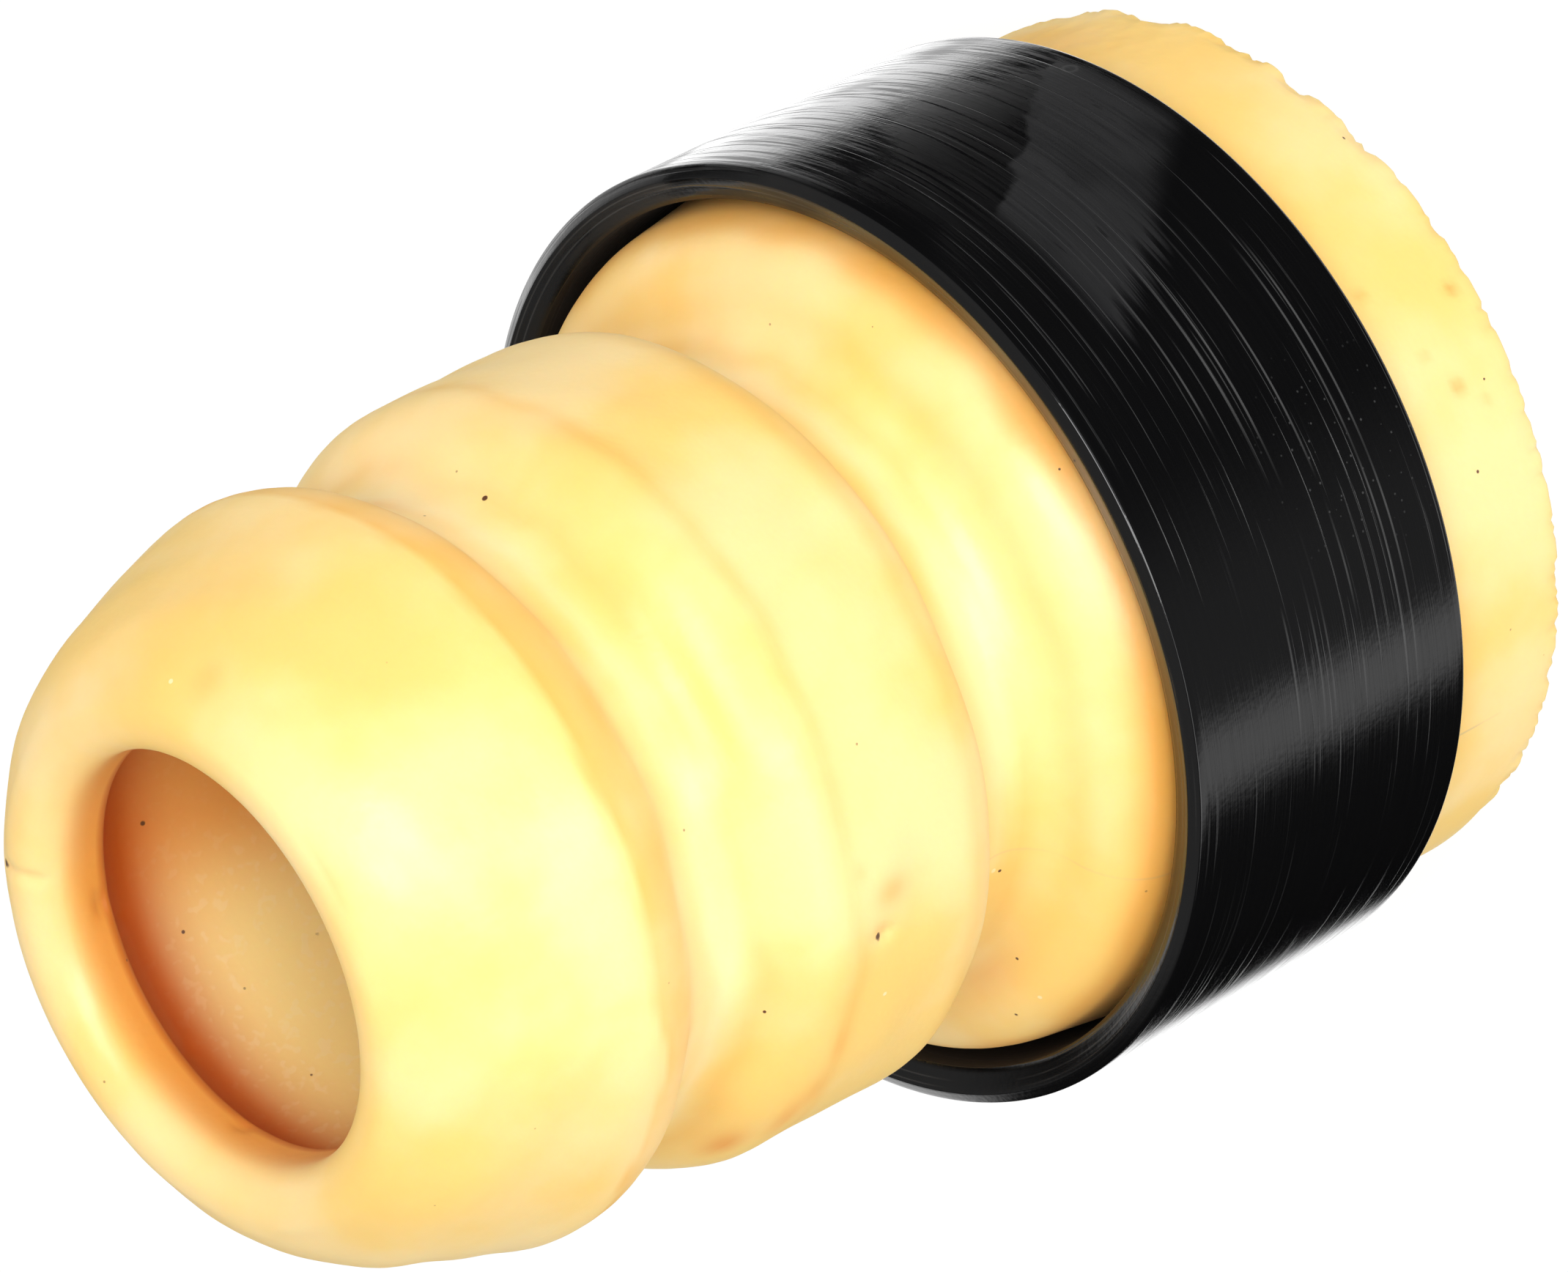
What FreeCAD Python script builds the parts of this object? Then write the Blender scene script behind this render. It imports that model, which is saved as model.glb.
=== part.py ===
"""Suspension bump stop: a moulded cellular polyurethane buffer in a plastic support ring.

Millimetres. +Z runs along the axis from the flat rear end, where the origin is, to the nose
that meets the damper. Both pieces are turned shapes. The buffer has three lobes with two
grooves between them, a cone that ends in a rolled lip, and a bore with two chambers. The ring
sits on the rear part of the buffer, against a foot that swells behind it.
"""
import FreeCAD, Part
import math
import os
import re
import Sketcher

V = FreeCAD.Vector
OUTSIDE, BORE = 1, -1

# Driving sizes. A "_d" is a diameter and an "_arc" the radius of an arc. The walls and steps of
# the buffer count from its bore, and its lengths from the foot and the ring.
DRIVING = [
    ("ring_outer_d", 60.0, "outside of the support ring"),
    ("ring_wall", 2.25, "wall of the ring"),
    ("ring_length", 22.5, "length of the ring"),
    ("ring_crest_rise", 0.3, "height of the fine crest on the ring's front face"),
    ("ring_crest_inset", 0.73, "from the ring's outside in to the crest"),
    ("ring_inner_drop", 0.26, "how far the front face has dropped at the ring's bore"),
    ("ring_edge", 0.3, "rounding of the ring's rear outer edge"),
    ("seat_clearance", 0.05, "radial clearance of the buffer in the ring"),
    ("foot_length", 10.4, "rear end of the buffer, behind the ring"),
    ("foot_swell", 0.35, "how far the foot swells beyond the ring's bore"),
    ("foot_gap", 0.1, "from the foot's shoulder to the ring"),
    ("foot_edge", 0.5, "rounding of the foot's outer edge"),
    ("seat_lead", 7.5, "from the ring's front back to the end of the straight seat"),
    ("lobe_three_gap", 0.9, "gap round the rear lobe at the front of the ring"),
    ("lobe_three_arc", 4.8, "shoulder of the rear lobe"),
    ("lobe_three_inset", 2.1, "from the ring's front back to the rear lobe's shoulder"),
    ("groove_two_depth", 4.55, "rear groove, below the middle lobe"),
    ("lobe_two_spacing", 15.2, "rear lobe's shoulder to the middle lobe's rear shoulder"),
    ("lobe_two_taper", 0.05, "how much the middle lobe's rear side is higher than its front"),
    ("lobe_two_rear_arc", 3.9, "rear shoulder of the middle lobe"),
    ("lobe_two_land", 9.25, "length of the middle lobe between its shoulders"),
    ("lobe_two_height", 3.75, "middle lobe, above the front groove"),
    ("lobe_two_front_arc", 5.1, "front shoulder of the middle lobe"),
    ("groove_one_wall", 7.8, "wall between the front groove and the ridge in the bore"),
    ("lobe_one_spacing", 14.25, "middle lobe's front shoulder to the front lobe's crest"),
    ("lobe_one_height", 2.95, "front lobe, above the front groove"),
    ("lobe_one_arc", 5.15, "crest of the front lobe"),
    ("nose_length", 14.75, "front lobe's crest to the front end"),
    ("nose_arc", 11.75, "curve from the cone to the lip"),
    ("nose_turn", 55.0, "slope to the axis at which the nose meets the lip, in degrees"),
    ("lip_arc", 2.3, "rolled lip round the mouth"),
    ("mouth_step", 0.9, "how much wider the mouth is than the bore"),
    ("mouth_land", 2.2, "straight stretch of the mouth"),
    ("lip_edge_arc", 0.6, "inner edge of the lip"),
    ("chamber_one_undercut", 2.95, "front chamber, behind the lip, beyond the mouth"),
    ("chamber_one_arc", 3.6, "round of the front chamber"),
    ("ridge_step", 0.6, "how much wider the ridge between the chambers is than the bore"),
    ("ridge_arc", 12.0, "crown of the ridge"),
    ("ridge_offset", 0.3, "from the front groove's middle back to the ridge"),
    ("chamber_two_undercut", 3.0, "rear chamber, beyond the bore"),
    ("bore_d", 24.0, "straight bore that guides the damper rod"),
    ("bore_length", 36.0, "length of the straight bore"),
    ("bore_arc", 10.0, "end of the straight bore towards the rear chamber"),
    ("bore_edge", 0.8, "rounding of the bore's rear edge"),
]

# Sizes and places that follow from the driving ones. An "_r" is measured from the axis and a
# "_z" from the rear end.
DERIVED = [
    ("ring_outer_r", "ring_outer_d / 2"),
    ("ring_bore_r", "ring_outer_r - ring_wall"),
    ("ring_rear_z", "foot_length + foot_gap"),
    ("ring_front_z", "ring_rear_z + ring_length"),
    ("foot_r", "ring_bore_r + foot_swell"),
    ("seat_r", "ring_bore_r - seat_clearance"),
    ("seat_end_z", "ring_front_z - seat_lead"),
    ("bore_r", "bore_d / 2"),
    ("mouth_r", "bore_r + mouth_step"),
    ("ridge_r", "bore_r + ridge_step"),
    ("chamber_one_r", "mouth_r + chamber_one_undercut"),
    ("chamber_two_r", "bore_r + chamber_two_undercut"),
    ("groove_one_r", "ridge_r + groove_one_wall"),
    ("lobe_one_r", "groove_one_r + lobe_one_height"),
    ("lobe_two_front_r", "groove_one_r + lobe_two_height"),
    ("lobe_two_rear_r", "lobe_two_front_r + lobe_two_taper"),
    ("groove_two_r", "lobe_two_rear_r - groove_two_depth"),
    ("lobe_three_r", "ring_bore_r - lobe_three_gap"),
    ("lobe_three_z", "ring_front_z - lobe_three_inset"),
    ("lobe_two_rear_z", "lobe_three_z + lobe_two_spacing"),
    ("lobe_two_front_z", "lobe_two_rear_z + lobe_two_land"),
    ("lobe_one_z", "lobe_two_front_z + lobe_one_spacing"),
    ("front_z", "lobe_one_z + nose_length"),
    ("ridge_z", "(lobe_two_front_z + lobe_one_z) / 2 - ridge_offset"),
]


def make_sheet(doc):
    """The spreadsheet: names in column A, values in B with the name as alias, notes in C."""
    sheet = doc.addObject("Spreadsheet::Sheet", "sizes")
    row = 1
    for name, value, note in DRIVING:
        sheet.set(f"A{row}", name)
        sheet.set(f"B{row}", str(value))
        sheet.setAlias(f"B{row}", name)
        sheet.set(f"C{row}", note)
        row += 1
    for name, formula in DERIVED:
        sheet.set(f"A{row}", name)
        sheet.set(f"B{row}", f"={formula}")
        sheet.setAlias(f"B{row}", name)
        row += 1
    doc.recompute()
    return sheet


def make_body(doc, name):
    """A body whose label names the piece."""
    body = doc.addObject("PartDesign::Body", name)
    body.Label = name
    return body


def origin_feature(body, role):
    """A plane or axis of the body's own origin."""
    return next(item for item in body.Origin.OriginFeatures if item.Role == role)


class Round:
    """A round stretch of a section: centre, radius, and whether it bulges out of the material."""

    def __init__(self, across, along, radius, bulges=True):
        self.centre = (across, along)
        self.radius = radius
        self.bulges = bulges

    def toward(self, other):
        """The point of this round that faces the other one's centre."""
        away = (other.centre[0] - self.centre[0], other.centre[1] - self.centre[1])
        share = self.radius / math.hypot(*away)
        return (self.centre[0] + share * away[0], self.centre[1] + share * away[1])

    def at_normal(self, normal):
        """The point where the section's outward normal has the given direction."""
        reach = self.radius if self.bulges else -self.radius
        return (self.centre[0] + reach * normal[0], self.centre[1] + reach * normal[1])


def straight_between(first, second):
    """The ends of the straight that leaves the first round and runs smoothly into the second."""
    away = (second.centre[0] - first.centre[0], second.centre[1] - first.centre[1])
    reach = [item.radius if item.bulges else -item.radius for item in (first, second)]
    turn = math.atan2(away[1], away[0]) - math.acos((reach[0] - reach[1]) / math.hypot(*away))
    normal = (math.cos(turn), math.sin(turn))
    return first.at_normal(normal), second.at_normal(normal)


def hollow_between(first, second, bottom_r, side):
    """The hollow round that touches both others and whose bottom is bottom_r from the axis.

    side is 1 on the outside and -1 in the bore. For a height z, a round with centre (x, y),
    radius c and crest x + side c is touched by a hollow of radius
    ((z - y)^2 + (bottom - x)^2 - c^2) / (2 side (crest - bottom)). Both rounds give the same
    radius at a root of a quadratic in z.
    """
    terms = []
    for item in (first, second):
        across, along = item.centre
        scale = side / (2 * (across + side * item.radius - bottom_r))
        rest = along ** 2 + (bottom_r - across) ** 2 - item.radius ** 2
        terms.append((scale, -2 * along * scale, rest * scale))
    square, linear, plain = (one - two for one, two in zip(*terms))
    spread = math.sqrt(linear ** 2 - 4 * square * plain)
    low, high = sorted((first.centre[1], second.centre[1]))
    roots = [2 * plain / (-linear + sign * spread) for sign in (1, -1)]
    along = next(root for root in roots if low < root < high)
    scale, slope, rest = terms[0]
    radius = scale * along ** 2 + slope * along + rest
    return Round(bottom_r + side * radius, along, radius, bulges=False)


def inside(outer, radius, slope):
    """The larger round that holds this one and touches it where the wall has that slope."""
    reach = radius - outer.radius
    across = outer.centre[0] - reach * math.cos(slope)
    return Round(across, outer.centre[1] - reach * math.sin(slope), radius)


class Section:
    """A closed section in the body's XZ plane, x as radius and y as height.

    Edges are added in order, anticlockwise round the material. An arc that bulges out of the
    material runs with the order, and a hollow one against it.
    """

    def __init__(self, body, name):
        self.sketch = body.newObject("Sketcher::SketchObject", name)
        self.sketch.AttachmentSupport = [(origin_feature(body, "XZ_Plane"), "")]
        self.sketch.MapMode = "FlatFace"
        self.chain = []
        self.corners = set()

    def line(self, start, end, corner=False):
        """A straight edge, with a plain corner after it or a smooth join."""
        edge = self.sketch.addGeometry(Part.LineSegment(V(*start, 0), V(*end, 0)), False)
        self.chain.append((edge, 1, 2))
        if corner:
            self.corners.add(edge)
        return edge

    def arc(self, item, start, end):
        first, last = (start, end) if item.bulges else (end, start)
        turns = [math.atan2(p[1] - item.centre[1], p[0] - item.centre[0]) for p in (first, last)]
        if turns[1] < turns[0]:
            turns[1] += 2 * math.pi
        circle = Part.Circle(V(*item.centre, 0), V(0, 0, 1), item.radius)
        edge = self.sketch.addGeometry(Part.ArcOfCircle(circle, *turns), False)
        self.chain.append((edge, 1, 2) if item.bulges else (edge, 2, 1))
        return edge

    def rule(self, kind, *places):
        return self.sketch.addConstraint(Sketcher.Constraint(kind, *places))

    def close(self):
        """Joins each edge to the next one, and the last to the first."""
        for here, there in zip(self.chain, self.chain[1:] + self.chain[:1]):
            kind = "Coincident" if here[0] in self.corners else "Tangent"
            self.rule(kind, here[0], here[2], there[0], there[1])

    def size(self, kind, places, formula):
        """A dimension bound to the sheet. Formulas name its cells."""
        expression = formula_on_sheet(formula)
        value = self.sketch.evalExpression(expression)
        unit = "1 mm"
        if kind == "Angle":
            value = math.radians(value)
            unit = "1 deg"
        index = self.rule(kind, *places, value)
        self.sketch.setExpression(f"Constraints[{index}]", f"({expression}) * {unit}")

    def across(self, edge, point, formula):
        """Binds a point's distance from the axis."""
        self.size("DistanceX", (-1, 1, edge, point), formula)

    def along(self, edge, point, formula):
        """Binds a point's height above the rear end."""
        self.size("DistanceY", (-1, 1, edge, point), formula)

    def round_sizes(self, edge, radius, across=None, along=None):
        """Binds an arc's radius and, where given, how far out and how high its centre is."""
        self.size("Radius", (edge,), radius)
        if across:
            self.across(edge, 3, across)
        if along:
            self.along(edge, 3, along)

    def hollow_size(self, edge, item, side, formula):
        """Binds how far from the axis a hollow's bottom is, at a point level with its centre."""
        bottom = (item.centre[0] - side * item.radius, item.centre[1])
        point = self.sketch.addGeometry(Part.Point(V(*bottom, 0)), True)
        self.rule("PointOnObject", point, 1, edge)
        self.rule("Horizontal", point, 1, edge, 3)
        self.across(point, 1, formula)


def formula_on_sheet(formula):
    """The formula with each of the sheet's names led by the sheet's own name."""
    known = {entry[0] for entry in DRIVING + DERIVED}
    return re.sub(r"[a-z_]+", lambda word: f"sizes.{word[0]}" if word[0] in known else word[0], formula)


def turn_solid(section, name):
    """Turns a closed section once round the axis."""
    sketch = section.sketch
    body = sketch.getParentGeoFeatureGroup()
    solid = body.newObject("PartDesign::Revolution", name)
    solid.Profile = sketch
    solid.ReferenceAxis = (sketch, ["V_Axis"])
    solid.Angle = 360
    sketch.Visibility = False
    body.Document.recompute()
    return solid


def round_edge(base, name, radius, height, edge_size):
    """A fillet on the circular edge with that radius and height, sized by a cell of the sheet."""
    def matches(edge):
        curve = edge.Curve
        return (isinstance(curve, Part.Circle) and abs(curve.Radius - radius) < 0.001
                and abs(curve.Center.z - height) < 0.001)

    body = base.getParentGeoFeatureGroup()
    numbers = [i + 1 for i, edge in enumerate(base.Shape.Edges) if matches(edge)]
    fillet = body.newObject("PartDesign::Fillet", name)
    fillet.Base = (base, [f"Edge{number}" for number in numbers])
    fillet.setExpression("Radius", f"sizes.{edge_size} * 1 mm")
    body.Document.recompute()
    return fillet


def buffer_rounds(get):
    """The rounds of the buffer's section by name, outside first and then down the bore."""
    rounds = {}

    def crest(name, radius, height, side=OUTSIDE):
        arc = get(f"{name}_arc")
        rounds[name] = Round(radius - side * arc, height, arc)

    for name in ("lobe_three", "lobe_two_rear", "lobe_two_front", "lobe_one"):
        crest(name, get(f"{name}_r"), get(f"{name}_z"))
    rounds["groove_two"] = hollow_between(
        rounds["lobe_three"], rounds["lobe_two_rear"], get("groove_two_r"), OUTSIDE)
    rounds["groove_one"] = hollow_between(
        rounds["lobe_two_front"], rounds["lobe_one"], get("groove_one_r"), OUTSIDE)

    crest("lip", get("mouth_r"), get("front_z") - get("lip_arc"), BORE)
    rounds["nose"] = inside(rounds["lip"], get("nose_arc"), math.radians(get("nose_turn")))
    land_end_z = rounds["lip"].centre[1] - get("mouth_land")
    crest("lip_edge", get("mouth_r"), land_end_z, BORE)
    chamber = Round(get("chamber_one_r") - get("chamber_one_arc"), 0, get("chamber_one_arc"), False)
    reach = chamber.radius + rounds["lip_edge"].radius
    offset = rounds["lip_edge"].centre[0] - chamber.centre[0]
    chamber.centre = (chamber.centre[0], land_end_z - math.sqrt(reach ** 2 - offset ** 2))
    rounds["chamber_one"] = chamber

    crest("ridge", get("ridge_r"), get("ridge_z"), BORE)
    crest("bore", get("bore_r"), get("bore_length"), BORE)
    rounds["chamber_two"] = hollow_between(
        rounds["ridge"], rounds["bore"], get("chamber_two_r"), BORE)
    return rounds


def draw_wall(section, get, rounds):
    """Draws the moulded wall, from the rear face round the outside and back down the bore.

    Rounds that touch follow each other directly, and a straight joins the others. The edges
    come back by name.
    """
    foot = (get("foot_r"), get("foot_length"))
    seat_end = (get("seat_r"), get("seat_end_z"))
    bore_r = get("bore_r")
    edges = {
        "rear": section.line((bore_r, 0), (foot[0], 0), corner=True),
        "foot": section.line((foot[0], 0), foot, corner=True),
        "step": section.line(foot, (seat_end[0], foot[1]), corner=True),
        "seat": section.line((seat_end[0], foot[1]), seat_end, corner=True),
    }
    order = ["lobe_three", "groove_two", "lobe_two_rear", "lobe_two_front", "groove_one", "lobe_one",
             "nose", "lip", "lip_edge", "chamber_one", "ridge", "chamber_two", "bore"]
    straights = {"lobe_two_front", "nose", "lip_edge", "ridge"}
    place = straight_between(Round(*seat_end, 0), rounds[order[0]])[1]
    section.line(seat_end, place)
    for name, following in zip(order, order[1:]):
        item, after = rounds[name], rounds[following]
        if following in straights:
            leave, arrive = straight_between(item, after)
            edges[name] = section.arc(item, place, leave)
            edges[f"before_{following}"] = section.line(leave, arrive)
            place = arrive
        else:
            leave = item.toward(after)
            edges[name] = section.arc(item, place, leave)
            place = leave
    bore_end = (bore_r, get("bore_length"))
    edges["bore"] = section.arc(rounds["bore"], place, bore_end)
    edges["bore_wall"] = section.line(bore_end, (bore_r, 0), corner=True)
    section.close()
    return edges


def size_wall(section, rounds, edges):
    """Binds every size of the moulded wall to the sheet."""
    section.rule("Horizontal", edges["rear"])
    section.rule("PointOnObject", edges["rear"], 1, -1)
    section.across(edges["rear"], 1, "bore_r")
    section.rule("Vertical", edges["foot"])
    section.across(edges["foot"], 2, "foot_r")
    section.rule("Horizontal", edges["step"])
    section.along(edges["step"], 1, "foot_length")
    section.rule("Vertical", edges["seat"])
    section.across(edges["seat"], 2, "seat_r")
    section.along(edges["seat"], 2, "seat_end_z")
    for name in ("lobe_three", "lobe_two_rear", "lobe_two_front", "lobe_one"):
        section.round_sizes(edges[name], f"{name}_arc", f"{name}_r - {name}_arc", f"{name}_z")
    for name, side in (("groove_two", OUTSIDE), ("groove_one", OUTSIDE), ("chamber_two", BORE)):
        section.hollow_size(edges[name], rounds[name], side, f"{name}_r")
    section.round_sizes(edges["lip"], "lip_arc", "mouth_r + lip_arc", "front_z - lip_arc")
    section.round_sizes(edges["nose"], "nose_arc")
    section.size("DistanceX", (edges["nose"], 3, edges["lip"], 3),
                 "(nose_arc - lip_arc) * cos(nose_turn * 1 deg)")
    section.rule("Vertical", edges["before_lip_edge"])
    section.size("DistanceY", (edges["before_lip_edge"], 2, edges["before_lip_edge"], 1), "mouth_land")
    section.round_sizes(edges["lip_edge"], "lip_edge_arc")
    section.round_sizes(edges["chamber_one"], "chamber_one_arc", "chamber_one_r - chamber_one_arc")
    section.round_sizes(edges["ridge"], "ridge_arc", "ridge_r + ridge_arc", "ridge_z")
    section.round_sizes(edges["bore"], "bore_arc", along="bore_length")
    section.rule("Vertical", edges["bore_wall"])


def make_buffer(doc):
    """The moulded buffer: foot, seat, three lobes, cone, rolled lip and chambered bore."""
    get = doc.sizes.get
    body = make_body(doc, "buffer")
    section = Section(body, "buffer_section")
    rounds = buffer_rounds(get)
    edges = draw_wall(section, get, rounds)
    size_wall(section, rounds, edges)
    solid = turn_solid(section, "buffer_turned")
    solid = round_edge(solid, "foot_rounding", get("foot_r"), 0, "foot_edge")
    round_edge(solid, "bore_rounding", get("bore_r"), 0, "bore_edge")
    return body


def make_ring(doc):
    """The support ring: a plain sleeve with a fine crest round its front face."""
    get = doc.sizes.get
    body = make_body(doc, "support_ring")
    section = Section(body, "ring_section")
    inner, outer = get("ring_bore_r"), get("ring_outer_r")
    rear_z, front_z = get("ring_rear_z"), get("ring_front_z")
    crest = (outer - get("ring_crest_inset"), front_z + get("ring_crest_rise"))
    drop = (inner, front_z - get("ring_inner_drop"))
    corners = [(inner, rear_z), (outer, rear_z), (outer, front_z), crest, drop]
    for start, end in zip(corners, corners[1:] + corners[:1]):
        section.line(start, end, corner=True)
    section.close()

    rear, outside, band, slope, bore = (edge[0] for edge in section.chain)
    section.rule("Horizontal", rear)
    section.rule("Vertical", outside)
    section.rule("Vertical", bore)
    section.across(rear, 1, "ring_bore_r")
    section.along(rear, 1, "ring_rear_z")
    section.across(rear, 2, "ring_outer_r")
    section.along(outside, 2, "ring_front_z")
    section.across(band, 2, "ring_outer_r - ring_crest_inset")
    section.along(band, 2, "ring_front_z + ring_crest_rise")
    section.along(slope, 2, "ring_front_z - ring_inner_drop")

    solid = turn_solid(section, "ring_turned")
    round_edge(solid, "ring_rounding", outer, rear_z, "ring_edge")
    return body


def check(doc, bodies):
    """Stops if a feature failed, a section isn't fully set, or a piece isn't one good solid."""
    for item in doc.Objects:
        if "Invalid" in item.State or "Error" in item.State:
            raise RuntimeError(f"{item.Label} failed: {item.State}")
        if item.TypeId == "Sketcher::SketchObject" and item.solve() != 0:
            raise RuntimeError(f"{item.Label} can't be solved")
    for body in bodies:
        shape = body.Shape
        if shape.isNull() or not shape.isValid() or len(shape.Solids) != 1:
            raise RuntimeError(f"{body.Label} isn't one valid solid")


def main():
    doc = FreeCAD.newDocument("bump_stop")
    make_sheet(doc)
    bodies = [make_buffer(doc), make_ring(doc)]
    doc.recompute()
    check(doc, bodies)
    os.makedirs("parts", exist_ok=True)
    for body in bodies:
        body.Shape.exportStep(f"parts/{body.Label}.step")
        box = body.Shape.BoundBox
        print(f"{body.Label}: {body.Shape.Volume:.1f} mm3, z {box.ZMin:.2f} to {box.ZMax:.2f}")


main()
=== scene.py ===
# %% [markdown]
# # A suspension bump stop
# The object is a moulded buffer of yellow polyurethane foam with a black plastic ring pressed
# over its rear part. Both are turned shapes, so one section each is enough to make them, and
# most of the lesson is about what a real moulding adds to that: a torn rim, a parting line,
# pits, dirt in the skin, and light that goes into the foam and comes out again as amber.

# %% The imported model
import math
import bpy
import numpy as np
from mathutils import Matrix, Vector


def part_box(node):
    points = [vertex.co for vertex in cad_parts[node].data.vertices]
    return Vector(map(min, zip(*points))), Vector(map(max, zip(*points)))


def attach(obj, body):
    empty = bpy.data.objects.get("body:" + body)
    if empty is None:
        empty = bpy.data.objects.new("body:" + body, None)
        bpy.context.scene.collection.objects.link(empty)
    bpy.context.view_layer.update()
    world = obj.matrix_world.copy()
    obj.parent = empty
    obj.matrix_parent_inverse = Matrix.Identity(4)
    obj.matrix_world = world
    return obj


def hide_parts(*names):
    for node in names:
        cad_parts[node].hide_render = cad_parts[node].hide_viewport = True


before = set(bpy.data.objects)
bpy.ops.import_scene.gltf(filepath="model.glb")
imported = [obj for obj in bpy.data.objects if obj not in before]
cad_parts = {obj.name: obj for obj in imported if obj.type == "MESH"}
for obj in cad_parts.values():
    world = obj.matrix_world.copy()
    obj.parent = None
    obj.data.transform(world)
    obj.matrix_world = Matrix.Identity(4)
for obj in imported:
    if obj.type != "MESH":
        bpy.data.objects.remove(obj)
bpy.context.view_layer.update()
mm = 0.001
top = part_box("buffer")[1]
ring_low, ring_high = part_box("support_ring")
print(len(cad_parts), "CAD nodes, object height", round(top.z / mm, 2), "mm, ring from",
      round(ring_low.z / mm, 2), "to", round(ring_high.z / mm, 2))

# %% [markdown]
# ## The camera
# The part stands on its rear end, and in the photograph its nose points down to the left. So
# the camera looks down at it from the front and is turned about its own line of sight. A long
# lens from two thirds of a metre gives the weak perspective that the ring's two rims show. The
# three directions of the camera are written as one rotation.

# %% Camera
photo_width = 2140
sensor = 36.0
focal_pixels = 15117.6
camera_right = np.array([-0.45636, -0.52692, -0.71699])
camera_up = np.array([0.88979, -0.27025, -0.36774])
camera_forward = np.array([0.0, 0.80580, -0.59219])
camera_place = np.array([1.596, -528.96, 425.11]) * mm


def add_camera():
    """A camera whose axes are the three directions above."""
    lens = bpy.data.cameras.new("camera")
    lens.sensor_width = sensor
    lens.sensor_fit = "HORIZONTAL"
    lens.lens = focal_pixels / photo_width * sensor
    lens.clip_start = 0.01
    lens.clip_end = 20
    camera = bpy.data.objects.new("camera", lens)
    turned = np.eye(4)
    turned[:3] = np.c_[camera_right, camera_up, -camera_forward, camera_place]
    camera.matrix_world = Matrix(turned.tolist())
    bpy.context.scene.collection.objects.link(camera)
    bpy.context.scene.camera = camera
    return lens.lens


print("lens", round(add_camera(), 1), "mm")

# %% [markdown]
# ## One section for the whole moulding
# A mould for a turned part is cut with round tools, so its section is a chain of arcs that run
# smoothly into each other. Each round is a complex number, radius from the axis plus i times
# the height, and a signed radius: positive where the foam bulges out and negative where it is
# hollow. Between two rounds there is one straight that touches both, and its length is nothing
# where the rounds touch. So one formula walks round the whole wall.

# %% Rounds
OUTSIDE = 1
BORE = -1


def crest(reach, height, radius, side=OUTSIDE):
    """A bulging round whose highest point is that far from the axis."""
    return complex(reach - side * radius, height), radius


def corner(reach, height, radius):
    """A round about a given centre, hollow if the radius is negative."""
    return complex(reach, height), radius


def hollow(first, second, bottom, side=OUTSIDE):
    """The hollow round that touches two others and has its bottom at a given radius.

    A round with centre (x, y), radius c and crest x + side c is touched at height z by a hollow
    of radius ((z - y)^2 + (bottom - x)^2 - c^2) / (2 side (crest - bottom)). The height is
    where both give the same, the root of a quadratic that lies between the two.
    """
    terms = []
    for centre, radius in (first, second):
        scale = side / (2 * (centre.real + side * radius - bottom))
        rest = centre.imag ** 2 + (bottom - centre.real) ** 2 - radius ** 2
        terms.append(scale * np.array([1, -2 * centre.imag, rest]))
    low, high = sorted((first[0].imag, second[0].imag))
    height = next(z.real for z in np.roots(terms[0] - terms[1]) if low < z.real < high)
    radius = np.polyval(terms[0], height)
    return complex(bottom + side * radius, height), -radius


example = hollow(crest(10, 0, 2), crest(10, 10, 2), 8)
print("between two crests of radius 2 that are 10 apart, a hollow 2 deep has radius",
      round(-example[1], 2))

# %% [markdown]
# ## The sizes that set everything else
# A designer changes a size and the rest follows, so every diameter is worked out from its
# neighbour: a groove from the ridge inside it, a lobe from its groove, and the foot from the
# ring that grips it. The ring's own size and the height of the front come from the packed
# model, so that the two models can't drift apart.

# %% Sizes of the moulding, in millimetres
bore_radius = 12.0
bore_length = 36.0
mouth_radius = bore_radius + 0.9
ridge_radius = bore_radius + 0.6
chamber_one_radius = mouth_radius + 2.95
chamber_two_radius = bore_radius + 3.0
groove_one_radius = ridge_radius + 7.8
lobe_one_radius = groove_one_radius + 2.95
lobe_two_radius = groove_one_radius + 3.75
lobe_two_taper = 0.05
groove_two_radius = lobe_two_radius + lobe_two_taper - 4.55
ring_outer_radius = ring_high.x / mm
ring_bore_radius = ring_outer_radius - 2.25
ring_rear = ring_low.z / mm
ring_crest_rise = 0.3
ring_front = ring_high.z / mm - ring_crest_rise
foot_radius = ring_bore_radius + 0.35
foot_length = ring_rear - 0.1
seat_radius = ring_bore_radius - 0.05
seat_end_height = ring_front - 7.5
front = top.z / mm
lobe_one_height = front - 14.75
lobe_two_front_height = lobe_one_height - 14.25
lobe_two_rear_height = lobe_two_front_height - 9.25
lobe_three_height = ring_front - 2.1
lobe_three_radius = ring_bore_radius - 0.9
print("bore", 2 * bore_radius, "mm, lobes", round(2 * lobe_one_radius, 2), "and",
      round(2 * lobe_two_radius, 2), "mm, grooves", round(2 * groove_one_radius, 2), "and",
      round(2 * groove_two_radius, 2), "mm across")

# %% Radii of the rounds themselves
lip_radius = 2.3
lip_edge_radius = 0.6
nose_radius = 11.75
nose_turn = math.radians(55)
mouth_land = 2.2
chamber_one_arc = 3.6
lobe_one_round = 5.15
lobe_two_front_round = 5.1
lobe_two_rear_round = 3.9
lobe_three_round = 4.8
ridge_round = 12.0
bore_end_round = 10.0
print("rounds from", lip_edge_radius, "to", ridge_round, "mm")

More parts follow.
